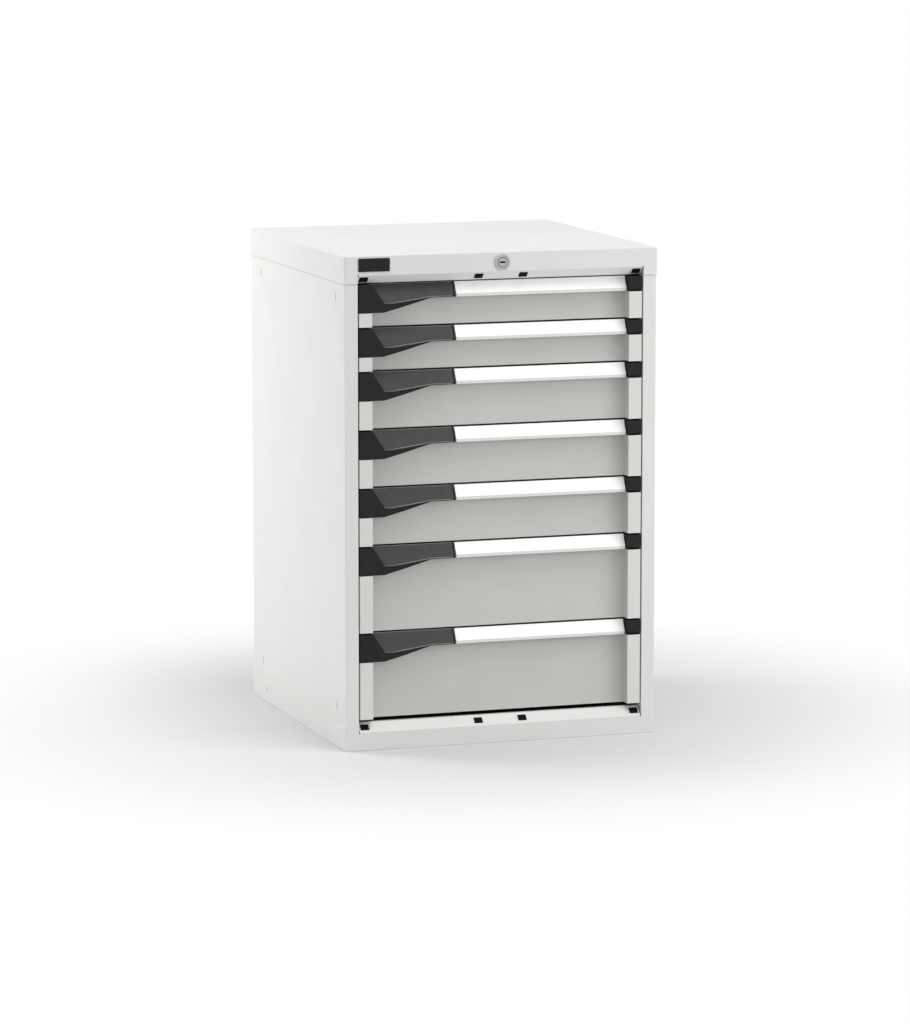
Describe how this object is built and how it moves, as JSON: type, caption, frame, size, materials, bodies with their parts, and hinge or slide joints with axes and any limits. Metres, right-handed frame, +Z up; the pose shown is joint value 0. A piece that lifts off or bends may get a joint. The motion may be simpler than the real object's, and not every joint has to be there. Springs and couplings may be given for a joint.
{
  "type": "modular drawer cabinet",
  "caption": "Free-standing steel drawer cabinet: folded casing, drawers of stepped heights with sloping grip rails and thumb latches, and one lock in the cover.",
  "frame": {"origin": "bottom centre of the footprint, at floor level", "axes": "+Z up, +X to the right of someone facing the drawers, drawers open towards -Y"},
  "size_m": [0.564, 0.5745, 0.85],
  "materials": {
    "casing_paint": "light grey powder coat, satin",
    "drawer_paint": "light grey powder coat, satin",
    "plain_steel": "zinc plated",
    "grip_aluminium": "coated light grey, satin",
    "label_strip": "white card under a clear cover",
    "black_plastic": "fine grain, matt",
    "grey_plastic": "fine grain, matt",
    "white_plastic": "smooth",
    "black_plate": "smooth, bare",
    "lock_metal": "nickel plated, polished"
  },
  "bodies": {
    "cabinet": {"top_cover": "casing_paint", "base_pan": "casing_paint", "left_side_shell": "casing_paint", "right_side_shell": "casing_paint", "back_panel": "casing_paint", "columns": "plain_steel", "fixed_rails": "plain_steel", "latch_strikes": "plain_steel", "bevel_plugs": "black_plastic", "side_plugs": "white_plastic", "name_plate": "black_plate", "lock_barrel": "lock_metal", "lock_nut": "plain_steel", "lock_bar_guides": "plain_steel"},
    "lock_plug": {"lock_plug": "lock_metal"},
    "draw_bar": {"lock_draw_bar": "plain_steel"},
    "lift_bar": {"lock_lift_bar": "plain_steel"},
    "drawer_1": {"drawer_1_tray": "drawer_paint", "drawer_1_grip_rail": "grip_aluminium", "drawer_1_label_strip": "label_strip", "drawer_1_handle_ends": "black_plastic"},
    "drawer_1_carriages": {"drawer_1_carriages": "plain_steel"},
    "drawer_1_lever": {"drawer_1_latch_lever": "grey_plastic"},
    "drawer_2": {"drawer_2_tray": "drawer_paint", "drawer_2_grip_rail": "grip_aluminium", "drawer_2_label_strip": "label_strip", "drawer_2_handle_ends": "black_plastic"},
    "drawer_2_carriages": {"drawer_2_carriages": "plain_steel"},
    "drawer_2_lever": {"drawer_2_latch_lever": "grey_plastic"},
    "drawer_3": {"drawer_3_tray": "drawer_paint", "drawer_3_grip_rail": "grip_aluminium", "drawer_3_label_strip": "label_strip", "drawer_3_handle_ends": "black_plastic"},
    "drawer_3_carriages": {"drawer_3_carriages": "plain_steel"},
    "drawer_3_lever": {"drawer_3_latch_lever": "grey_plastic"},
    "drawer_4": {"drawer_4_tray": "drawer_paint", "drawer_4_grip_rail": "grip_aluminium", "drawer_4_label_strip": "label_strip", "drawer_4_handle_ends": "black_plastic"},
    "drawer_4_carriages": {"drawer_4_carriages": "plain_steel"},
    "drawer_4_lever": {"drawer_4_latch_lever": "grey_plastic"},
    "drawer_5": {"drawer_5_tray": "drawer_paint", "drawer_5_grip_rail": "grip_aluminium", "drawer_5_label_strip": "label_strip", "drawer_5_handle_ends": "black_plastic"},
    "drawer_5_carriages": {"drawer_5_carriages": "plain_steel"},
    "drawer_5_lever": {"drawer_5_latch_lever": "grey_plastic"},
    "drawer_6": {"drawer_6_tray": "drawer_paint", "drawer_6_grip_rail": "grip_aluminium", "drawer_6_label_strip": "label_strip", "drawer_6_handle_ends": "black_plastic"},
    "drawer_6_carriages": {"drawer_6_carriages": "plain_steel"},
    "drawer_6_lever": {"drawer_6_latch_lever": "grey_plastic"},
    "drawer_7": {"drawer_7_tray": "drawer_paint", "drawer_7_grip_rail": "grip_aluminium", "drawer_7_label_strip": "label_strip", "drawer_7_handle_ends": "black_plastic"},
    "drawer_7_carriages": {"drawer_7_carriages": "plain_steel"},
    "drawer_7_lever": {"drawer_7_latch_lever": "grey_plastic"}
  },
  "joints": [
    {"name": "lift_bar_slide", "type": "slide", "parent": "cabinet", "child": "lift_bar", "axis": [0, 0, 1], "range_m": [0, 0.01414]},
    {"name": "draw_bar_slide", "type": "slide", "parent": "cabinet", "child": "draw_bar", "axis": [1, 0, 0], "range_m": [0, 0.01415]},
    {"name": "lock_turn", "type": "hinge", "parent": "cabinet", "child": "lock_plug", "pos_m": [0, -0.286, 0.8327], "axis": [0, -1, 0], "range_deg": [0, 90]},
    {"name": "drawer_1_slide", "type": "slide", "parent": "cabinet", "child": "drawer_1", "axis": [0, -1, 0], "range_m": [0, 0.46]},
    {"name": "drawer_1_carriage_slide", "type": "slide", "parent": "cabinet", "child": "drawer_1_carriages", "axis": [0, -1, 0], "range_m": [0, 0.23]},
    {"name": "drawer_1_lever_press", "type": "hinge", "parent": "drawer_1", "child": "drawer_1_lever", "pos_m": [-0.16, -0.2658, 0.796], "axis": [1, 0, 0], "range_deg": [0, 4.5], "stiffness_Nm_per_rad": 0.08, "springref_deg": -14.32},
    {"name": "drawer_2_slide", "type": "slide", "parent": "cabinet", "child": "drawer_2", "axis": [0, -1, 0], "range_m": [0, 0.46]},
    {"name": "drawer_2_carriage_slide", "type": "slide", "parent": "cabinet", "child": "drawer_2_carriages", "axis": [0, -1, 0], "range_m": [0, 0.23]},
    {"name": "drawer_2_lever_press", "type": "hinge", "parent": "drawer_2", "child": "drawer_2_lever", "pos_m": [-0.16, -0.2658, 0.721], "axis": [1, 0, 0], "range_deg": [0, 4.5], "stiffness_Nm_per_rad": 0.08, "springref_deg": -14.32},
    {"name": "drawer_3_slide", "type": "slide", "parent": "cabinet", "child": "drawer_3", "axis": [0, -1, 0], "range_m": [0, 0.46]},
    {"name": "drawer_3_carriage_slide", "type": "slide", "parent": "cabinet", "child": "drawer_3_carriages", "axis": [0, -1, 0], "range_m": [0, 0.23]},
    {"name": "drawer_3_lever_press", "type": "hinge", "parent": "drawer_3", "child": "drawer_3_lever", "pos_m": [-0.16, -0.2658, 0.646], "axis": [1, 0, 0], "range_deg": [0, 4.5], "stiffness_Nm_per_rad": 0.08, "springref_deg": -14.32},
    {"name": "drawer_4_slide", "type": "slide", "parent": "cabinet", "child": "drawer_4", "axis": [0, -1, 0], "range_m": [0, 0.46]},
    {"name": "drawer_4_carriage_slide", "type": "slide", "parent": "cabinet", "child": "drawer_4_carriages", "axis": [0, -1, 0], "range_m": [0, 0.23]},
    {"name": "drawer_4_lever_press", "type": "hinge", "parent": "drawer_4", "child": "drawer_4_lever", "pos_m": [-0.16, -0.2658, 0.546], "axis": [1, 0, 0], "range_deg": [0, 4.5], "stiffness_Nm_per_rad": 0.08, "springref_deg": -14.32},
    {"name": "drawer_5_slide", "type": "slide", "parent": "cabinet", "child": "drawer_5", "axis": [0, -1, 0], "range_m": [0, 0.46]},
    {"name": "drawer_5_carriage_slide", "type": "slide", "parent": "cabinet", "child": "drawer_5_carriages", "axis": [0, -1, 0], "range_m": [0, 0.23]},
    {"name": "drawer_5_lever_press", "type": "hinge", "parent": "drawer_5", "child": "drawer_5_lever", "pos_m": [-0.16, -0.2658, 0.446], "axis": [1, 0, 0], "range_deg": [0, 4.5], "stiffness_Nm_per_rad": 0.08, "springref_deg": -14.32},
    {"name": "drawer_6_slide", "type": "slide", "parent": "cabinet", "child": "drawer_6", "axis": [0, -1, 0], "range_m": [0, 0.46]},
    {"name": "drawer_6_carriage_slide", "type": "slide", "parent": "cabinet", "child": "drawer_6_carriages", "axis": [0, -1, 0], "range_m": [0, 0.23]},
    {"name": "drawer_6_lever_press", "type": "hinge", "parent": "drawer_6", "child": "drawer_6_lever", "pos_m": [-0.16, -0.2658, 0.346], "axis": [1, 0, 0], "range_deg": [0, 4.5], "stiffness_Nm_per_rad": 0.08, "springref_deg": -14.32},
    {"name": "drawer_7_slide", "type": "slide", "parent": "cabinet", "child": "drawer_7", "axis": [0, -1, 0], "range_m": [0, 0.46]},
    {"name": "drawer_7_carriage_slide", "type": "slide", "parent": "cabinet", "child": "drawer_7_carriages", "axis": [0, -1, 0], "range_m": [0, 0.23]},
    {"name": "drawer_7_lever_press", "type": "hinge", "parent": "drawer_7", "child": "drawer_7_lever", "pos_m": [-0.16, -0.2658, 0.196], "axis": [1, 0, 0], "range_deg": [0, 4.5], "stiffness_Nm_per_rad": 0.08, "springref_deg": -14.32}
  ],
  "couplings": [
    {"joint": "draw_bar_slide", "follows": "lift_bar_slide", "ratio": 1},
    {"joint": "lock_turn", "follows": "lift_bar_slide", "rad_per_m": 111.07},
    {"joint": "drawer_1_carriage_slide", "follows": "drawer_1_slide", "ratio": 0.5},
    {"joint": "drawer_2_carriage_slide", "follows": "drawer_2_slide", "ratio": 0.5},
    {"joint": "drawer_3_carriage_slide", "follows": "drawer_3_slide", "ratio": 0.5},
    {"joint": "drawer_4_carriage_slide", "follows": "drawer_4_slide", "ratio": 0.5},
    {"joint": "drawer_5_carriage_slide", "follows": "drawer_5_slide", "ratio": 0.5},
    {"joint": "drawer_6_carriage_slide", "follows": "drawer_6_slide", "ratio": 0.5},
    {"joint": "drawer_7_carriage_slide", "follows": "drawer_7_slide", "ratio": 0.5}
  ]
}
